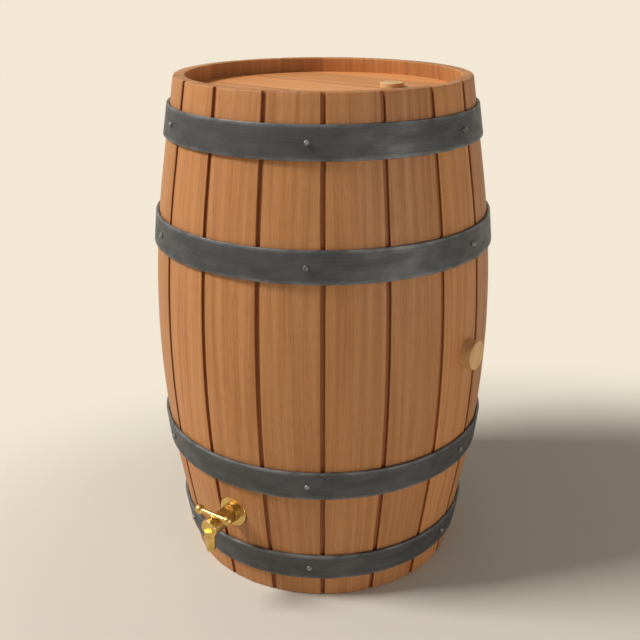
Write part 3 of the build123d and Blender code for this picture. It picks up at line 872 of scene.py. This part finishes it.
bung_sizes = (bilge_bung_radius, bilge_bung_proud, stave_thickness)
bilge_bung = make_bung("turned_bilge_bung", *bung_sizes, bilge_bung_place, radians(70), 2.0)
stand_for(bilge_bung, "bilge_bung")
bung_sizes = (head_bung_radius, head_bung_proud, head_thickness)
head_bung = make_bung("turned_head_bung", *bung_sizes, head_bung_place, radians(35), 5.0)
stand_for(head_bung, "head_bung")

# Tap body
# One brass casting, turned where it is round: a shank through the stave, whose thread is left plain, a flange
# against the flat seat, a collar, a square neck for a spanner, and a round chest, out of whose end the outlet
# boss stands half proud. It is bored through for the drink and for the tapered plug.

saddle_radius = 0.023
shank_beyond = 0.0186
gasket_thickness = 0.002
flange_thickness = 0.005
collar_radius = 0.0185
collar_length = 0.0105
neck_half = 0.0125
neck_length = 0.021
neck_corner = 0.0026
chest_radius = 0.017
plug_setback = 0.0223
outlet_offset = 0.0112
outlet_end = 0.005
shank_end = skin_radius(tap_rise - saddle_radius, stave_thickness) - shank_beyond
flange_back = seat_reach + gasket_thickness
flange_front = flange_back + flange_thickness
neck_start = flange_front + collar_length
chest_start = neck_start + neck_length
plug_reach = chest_start + plug_setback
outlet_reach = plug_reach + outlet_offset
chest_end = outlet_reach + outlet_end
boss_radius = 0.011
boss_top = -0.004
boss_foot = -0.020
bore_radius = 0.0035
bore_spare = 0.0004
gland_rise = 0.0135
gland_pad_radius = 0.0091
pad_cut_top = 0.03
seat_floor = -0.009
seat_low = -0.0085
seat_low_radius = 0.00536
seat_high = 0.0095
seat_high_radius = 0.00606
seat_mouth = 0.016
outlet_radius = 0.00706
outlet_step = -0.013
cut_spare = 0.001
weld_overlap = 0.003
chest_steps = 113
bore_steps = 61
outlet_steps = 59
# Colour of the painted shade on the tap's collar and neck
painted_shade_brown = (0.330, 0.185, 0.045, 1.0)


def brass_finish(name, bright, dull, stain, roughness):
    """Brass with cloudy tarnish, darker spots and fine marks of wear, dulled to brown and rougher by painted
    shade wherever a piece marks its points for it.
    """
    brass, surface = new_finish(name)
    place = own_place(brass)
    clouds = stretched_noise(brass, place, (55.0, 55.0, 55.0), 4.0, 0.55)
    spots = stretched_noise(brass, place, (330.0, 330.0, 330.0), 3.0, 0.6)
    marks = stretched_noise(brass, place, (900.0, 900.0, 2600.0), 2.0)
    colour = layer(brass, between(brass, clouds, 0.40, 0.66), bright, dull)
    colour = layer(brass, times(brass, between(brass, spots, 0.60, 0.74), 0.55), colour, stain)
    painted_shade = own_value(brass, "painted_shade")
    feed(surface, "Base Color", layer(brass, times(brass, painted_shade, 0.72), colour, painted_shade_brown))
    worn = total(brass, times(brass, clouds, 0.6), times(brass, spots, 0.4))
    rough = between(brass, worn, 0.35, 0.65, roughness - 0.07, roughness + 0.12)
    feed(surface, "Roughness", total(brass, rough, times(brass, painted_shade, 0.10)))
    surface.inputs["Metallic"].default_value = 1.0
    height = total(brass, times(brass, spots, 0.7), times(brass, marks, 0.3))
    emboss(brass, surface, height, 0.22, 0.0004)
    return brass


brass_bright = (0.800, 0.555, 0.190, 1.0)
brass_dull = (0.640, 0.420, 0.130, 1.0)
brass_stain = (0.330, 0.190, 0.060, 1.0)
tap_brass = brass_finish("tap_brass", brass_bright, brass_dull, brass_stain, 0.31)

# The tap is worked in its own frame at a thousand times its size, where cuts come out cleaner. The chest and
# the bores are turned in odd numbers of steps, so that their facets don't line up with those they meet.
bench_scale = 1000
bench = Matrix.Scale(bench_scale, 4)
along_bench = bench @ Matrix.Rotation(pi / 2, 4, "Y")


def upright_at(reach):
    """Place on the upright axis that crosses the tap's axis at this reach."""
    return bench @ Matrix.Translation((reach, 0, 0))


def off_bench(piece, crease=32):
    """Bring a worked piece of the tap to its size and place, and give it its brass."""
    piece.data.transform(tap_place @ Matrix.Scale(1 / bench_scale, 4))
    smooth(piece, crease)
    dress(piece, tap_brass)


def barred(name, section, low, high, place):
    """A straight bar of this section, from low to high along the upright axis of its place."""
    size = len(section)
    points = [place @ Vector((x, y, rise)) for rise in (low, high) for x, y in section]
    return mesh_piece(name, points, ring_faces(2, size) + [tuple(range(size)), tuple(range(size, 2 * size))])


def square(half):
    return [(half, half), (-half, half), (-half, -half), (half, -half)]


shank_outline = [
    (0, shank_end),
    (shank_radius, shank_end),
    (shank_radius, flange_back),
    (flange_radius, flange_back),
    (flange_radius, flange_front),
    (collar_radius, flange_front),
    (collar_radius, neck_start),
    (0, neck_start),
]
shank_outline = rounded(shank_outline, {1: 0.0012, 3: 0.0005, 4: 0.0012, 5: 0.0007, 6: 0.0014})
cast_body = turned("cast_tap_body", shank_outline, along_bench)
neck_section = rounded(square(neck_half), {corner: neck_corner for corner in range(4)}, 6)
neck = barred("neck", neck_section, neck_start - weld_overlap, chest_start + weld_overlap, along_bench)
carve(cast_body, neck, "UNION")
chest_outline = rounded(rod(chest_radius, chest_start, chest_end), {1: 0.0012, 2: 0.0022})
carve(cast_body, turned("chest", chest_outline, along_bench, chest_steps), "UNION")
boss_outline = rounded(rod(boss_radius, boss_foot, boss_top), {1: 0.0004, 2: 0.0014})
carve(cast_body, turned("boss", boss_outline, upright_at(outlet_reach)), "UNION")
carve(cast_body, turned("pad_cutter", rod(gland_pad_radius, gland_rise, pad_cut_top), upright_at(plug_reach)))
plug_seat = rod(seat_low_radius, seat_floor, seat_low)[:3] + rod(seat_high_radius, seat_high, seat_mouth)[1:]
carve(cast_body, turned("plug_cutter", plug_seat, upright_at(plug_reach)))
way_in = rod(bore_radius, shank_end - cut_spare, outlet_reach + bore_spare)
carve(cast_body, turned("bore_cutter", way_in, along_bench, bore_steps))
way_out = rod(outlet_radius, boss_foot - cut_spare, outlet_step)[:3] + rod(bore_radius, outlet_step, 0)[1:]
carve(cast_body, turned("outlet_cutter", way_out, upright_at(outlet_reach), outlet_steps))
off_bench(cast_body)

# Painted shade: the collar and the neck, between the flange and the chest, are marked to be dulled to brown,
# which stands in for the shade there and dims their highlights
leeway = 0.0001
painted_shade = []
for vertex in cast_body.data.vertices:
    spot = tap_place.inverted() @ vertex.co
    behind_chest = flange_front - leeway < spot.x < chest_start + leeway
    painted_shade.append(float(behind_chest and hypot(spot.y, spot.z) < collar_radius + 3 * leeway))
add_values(cast_body.data, "painted_shade", painted_shade)
stand_for(cast_body, "tap_body")

# Spout
# A short turned brass nozzle that tapers towards its tip. It is bored through and screwed up into the outlet
# boss, and its thread is left plain.

spout_bore_radius = 0.0055
spout_thread_radius = 0.0070
spout_tip_radius = 0.00825
spout_tip = -0.047
spout_outline = [
    (spout_bore_radius, outlet_step),
    (spout_thread_radius, outlet_step),
    (spout_thread_radius, boss_foot),
    (boss_radius, boss_foot),
    (spout_tip_radius, spout_tip),
    (spout_bore_radius, spout_tip),
]
spout_outline = rounded(spout_outline, {3: 0.0006, 4: 0.0009, 5: 0.0006})
spout = turned("turned_tap_spout", spout_outline, upright_at(outlet_reach))
off_bench(spout)
stand_for(spout, "tap_spout")

# Gland nut
# A thin six-sided brass nut whose corners are turned off, screwed into the mouth of the plug's seat so that
# it holds the plug down; the stem comes up through its hole.

nut_half = 0.007
nut_top = gland_rise + 0.003
nut_blank_radius = 0.0082
nut_face_radius = 0.0068
nut_slope = 0.0008
nut_thread_radius = 0.006
nut_thread_foot = 0.00955
stem_hole_radius = 0.00356
stem_cut = (0.008, 0.02)
nut_crease = 25
corners = [(cos(pi / 3 * corner), sin(pi / 3 * corner)) for corner in range(6)]
nut_section = [(x * nut_half / cos(pi / 6), y * nut_half / cos(pi / 6)) for x, y in corners]
gland_nut = barred("hex_gland_nut", nut_section, gland_rise, nut_top, upright_at(plug_reach))
blank = rod(nut_blank_radius, gland_rise - cut_spare, nut_top - nut_slope)[:3]
blank += [(nut_face_radius, nut_top), (0, nut_top)]
carve(gland_nut, turned("nut_blank", blank, upright_at(plug_reach)), "INTERSECT")
nut_thread = rod(nut_thread_radius, nut_thread_foot, gland_rise + cut_spare)
carve(gland_nut, turned("nut_thread", nut_thread, upright_at(plug_reach)), "UNION")
stem_hole = rod(stem_hole_radius, *stem_cut)
carve(gland_nut, turned("stem_cutter", stem_hole, upright_at(plug_reach), bore_steps))
off_bench(gland_nut, nut_crease)
stand_for(gland_nut, "tap_gland_nut")

# T handle
# A round brass bar brazed across a short boss, which fits over the square end of the plug's stem. Reduced
# ends of the bar are driven into two turned balls.

bar_radius = 0.0045
ball_reach = 0.033
ball_radius = 0.0091
ball_seat_radius = 0.009
shoulder = ball_reach - sqrt(ball_seat_radius**2 - bar_radius**2)
spigot_radius = 0.0025
spigot_length = 0.009
spigot_clearance = 0.00005
ball_steps = 24
ball_crease = 40
handle_steps = 64
handle_boss_radius = 0.0055
handle_boss_drop = 0.0005
handle_gap = 0.0005
tang_foot = nut_top + handle_gap
tang_half = 0.00245
tang_hole_depth = 0.00705
bar_rise = tang_foot + handle_boss_drop + bar_radius
handle_place = upright_at(plug_reach) @ Matrix.Translation((0, 0, bar_rise))
along_bar = handle_place @ Matrix.Rotation(-pi / 2, 4, "X")

bar_outline = [
    (0, -shoulder - spigot_length),
    (spigot_radius, -shoulder - spigot_length),
    (spigot_radius, -shoulder),
    (bar_radius, -shoulder),
    (bar_radius, shoulder),
    (spigot_radius, shoulder),
    (spigot_radius, shoulder + spigot_length),
    (0, shoulder + spigot_length),
]
handle = turned("turned_tap_handle", bar_outline, along_bar, handle_steps)
boss_outline = rounded(rod(handle_boss_radius, tang_foot, bar_rise), {1: 0.0004})
carve(handle, turned("handle_boss", boss_outline, upright_at(plug_reach), handle_steps), "UNION")
tang_ends = (tang_foot - cut_spare, tang_foot + tang_hole_depth)
carve(handle, barred("tang_cutter", square(tang_half), *tang_ends, upright_at(plug_reach)))
off_bench(handle)
stand_for(handle, "tap_handle")

socket_radius, socket_end = spigot_radius + spigot_clearance, shoulder + spigot_length
ball_outline = [(0, socket_end), (socket_radius, socket_end), (socket_radius, shoulder)]
flat = asin(sqrt(ball_radius**2 - (ball_reach - shoulder) ** 2) / ball_radius)
for step in range(ball_steps):
    turn = (pi - flat) * (1 - step / ball_steps)
    ball_outline.append((ball_radius * sin(turn), ball_reach + ball_radius * cos(turn)))
ball_outline.append((0, ball_reach + ball_radius))
balls = []
for side in range(2):
    place = along_bar @ Matrix.Rotation(pi * side, 4, "X")
    balls.append(turned("ball", ball_outline, place, handle_steps))
balls = joined("turned_handle_balls", balls)
off_bench(balls, ball_crease)
stand_for(balls, "tap_handle_balls")

# Plug, washer and lock nut
# The tapered plug is ground into its seat and shows only at its stem; inside the barrel a plain washer and
# a six-sided nut draw the tap's shank tight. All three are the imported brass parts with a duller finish.

inner_bright = (0.720, 0.470, 0.130, 1.0)
inner_dull = (0.520, 0.320, 0.085, 1.0)
inner_stain = (0.250, 0.150, 0.050, 1.0)
inner_brass = brass_finish("inner_brass", inner_bright, inner_dull, inner_stain, 0.38)
for node_name in ("tap_plug", "tap_washer", "tap_lock_nut"):
    dress(cad_nodes[node_name], inner_brass)

# Gaskets
# A flat ring of black rubber under the flange, and a thicker one inside that is moulded to the staves' curve.
# The rubber is matte and slightly dusty.

rubber_black = (0.012, 0.011, 0.010, 1.0)
rubber_dust = (0.050, 0.044, 0.038, 1.0)

rubber, rubber_surface = new_finish("gasket_rubber")
dust = stretched_noise(rubber, own_place(rubber), (90.0, 90.0, 90.0), 4.0, 0.6)
skin = stretched_noise(rubber, own_place(rubber), (1400.0, 1400.0, 1400.0), 2.0)
rubber_colour = layer(rubber, between(rubber, dust, 0.42, 0.70), rubber_black, rubber_dust)
feed(rubber_surface, "Base Color", rubber_colour)
feed(rubber_surface, "Roughness", between(rubber, dust, 0.3, 0.7, 0.62, 0.85))
emboss(rubber, rubber_surface, skin, 0.3, 0.0003)
for node_name in ("tap_gasket", "tap_saddle_gasket"):
    dress(cad_nodes[node_name], rubber)

# Studio
# A pale cream floor that curves up into a backdrop, one large soft lamp high on the left and a weak fill.
# Away from the middle of the barrel's shadow, the floor and the backdrop turn to one even cream, as the
# camera, reflections and clear pieces see them.

floor_half_width = 9.0
floor_front = -6.0
floor_back = 5.0
sweep_radius = 2.5
sweep_steps = 12
backdrop_height = 7.0
floor_cream = (0.632, 0.594, 0.520, 1.0)
even_cream = (0.888, 0.807, 0.665, 1.0)
shadow_middle = (0.45, -0.20, 0.0)
shadow_stretch = (0.62, 1.0, 1.0)
shadow_end = 0.58
cream_start = 1.05
air_strength = 0.255
air_colour = (1.0, 0.955, 0.88, 1.0)

floor_points = []
for x in (-floor_half_width, floor_half_width):
    floor_points.append((x, floor_front, 0.0))
    for step in range(sweep_steps + 1):
        turn = pi / 2 * step / sweep_steps
        floor_points.append((x, floor_back + sweep_radius * sin(turn), sweep_radius * (1 - cos(turn))))
    floor_points.append((x, floor_back + sweep_radius, backdrop_height))
strip = len(floor_points) // 2
floor_faces = [(spot, strip + spot, strip + spot + 1, spot + 1) for spot in range(strip - 1)]
floor = mesh_piece("studio_floor", floor_points, floor_faces)
cream, cream_surface = new_finish("studio_cream")
cream_surface.inputs["Base Color"].default_value = floor_cream
cream_surface.inputs["Roughness"].default_value = 0.95
cream_surface.inputs["Specular IOR Level"].default_value = 0.1
off_shadow = {0: own_place(cream), 1: shadow_middle}
off_shadow = shader(cream, "VectorMath", off_shadow, operation="SUBTRACT").outputs[0]
off_shadow = {0: off_shadow, 1: shadow_stretch}
off_shadow = shader(cream, "VectorMath", off_shadow, operation="MULTIPLY").outputs[0]
off_shadow = shader(cream, "VectorMath", {0: off_shadow}, operation="LENGTH").outputs["Value"]
rays = shader(cream, "LightPath").outputs
seen = rays["Is Camera Ray"]
for ray in ("Is Glossy Ray", "Is Transmission Ray"):
    seen = shader(cream, "Math", {0: seen, 1: rays[ray]}, operation="MAXIMUM").outputs[0]
evenness = times(cream, between(cream, off_shadow, shadow_end, cream_start), seen)
lit_cream = shader(cream, "Emission", {"Color": even_cream, "Strength": 1.0})
cream_mix = shader(cream, "MixShader", {0: evenness, 1: cream_surface.outputs[0], 2: lit_cream.outputs[0]})
cream.node_tree.links.new(cream_mix.outputs[0], cream.node_tree.nodes["Material Output"].inputs["Surface"])
dress(floor, cream)


def softbox(name, place, aim, width, height, power, colour):
    """An area lamp at place, turned to face aim."""
    lamp = bpy.data.lights.new(name, "AREA")
    lamp.shape = "RECTANGLE"
    lamp.size, lamp.size_y = width, height
    lamp.energy = power
    lamp.color = colour
    holder = new_object(name, lamp)
    holder.location = place
    holder.rotation_euler = (Vector(aim) - Vector(place)).to_track_quat("-Z", "Y").to_euler()


barrel_middle = (0.0, 0.0, half_height)
key_place = (-6.4, -1.0, 6.8)
key_side = 2.6
key_power = 890.0
key_colour = (1.0, 0.975, 0.94)
fill_place = (6.0, -5.6, 1.0)
fill_width = 3.4
fill_height = 1.7
fill_power = 188.0
fill_colour = (1.0, 0.96, 0.92)
softbox("key_softbox", key_place, barrel_middle, key_side, key_side, key_power, key_colour)
softbox("fill_softbox", fill_place, barrel_middle, fill_width, fill_height, fill_power, fill_colour)

world = bpy.data.worlds.new("studio_air")
bpy.context.scene.world = world
world.use_nodes = True
air = world.node_tree.nodes["Background"]
air.inputs["Color"].default_value = air_colour
air.inputs["Strength"].default_value = air_strength
shown_air = shader(world, "Background", {"Color": even_cream, "Strength": 1.0})
seen_directly = shader(world, "LightPath").outputs["Is Camera Ray"]
air_mix = shader(world, "MixShader", {0: seen_directly, 1: air.outputs[0], 2: shown_air.outputs[0]})
world.node_tree.links.new(air_mix.outputs[0], world.node_tree.nodes["World Output"].inputs["Surface"])

# Camera
# It looks slightly down on the barrel from the front, from where the photograph was taken.

lens_length = 50.86
sensor_width = 36.0
camera_place = (0.0, -1.6989, 1.1413)
camera_tilt = radians(68.23)
camera_turn = radians(0.196)

lens = bpy.data.cameras.new("camera")
lens.sensor_width = sensor_width
lens.lens = lens_length
camera = new_object("camera", lens)
camera.location = camera_place
camera.rotation_euler = (camera_tilt, 0.0, camera_turn)
bpy.context.scene.camera = camera
bpy.context.scene.view_settings.view_transform = "Standard"
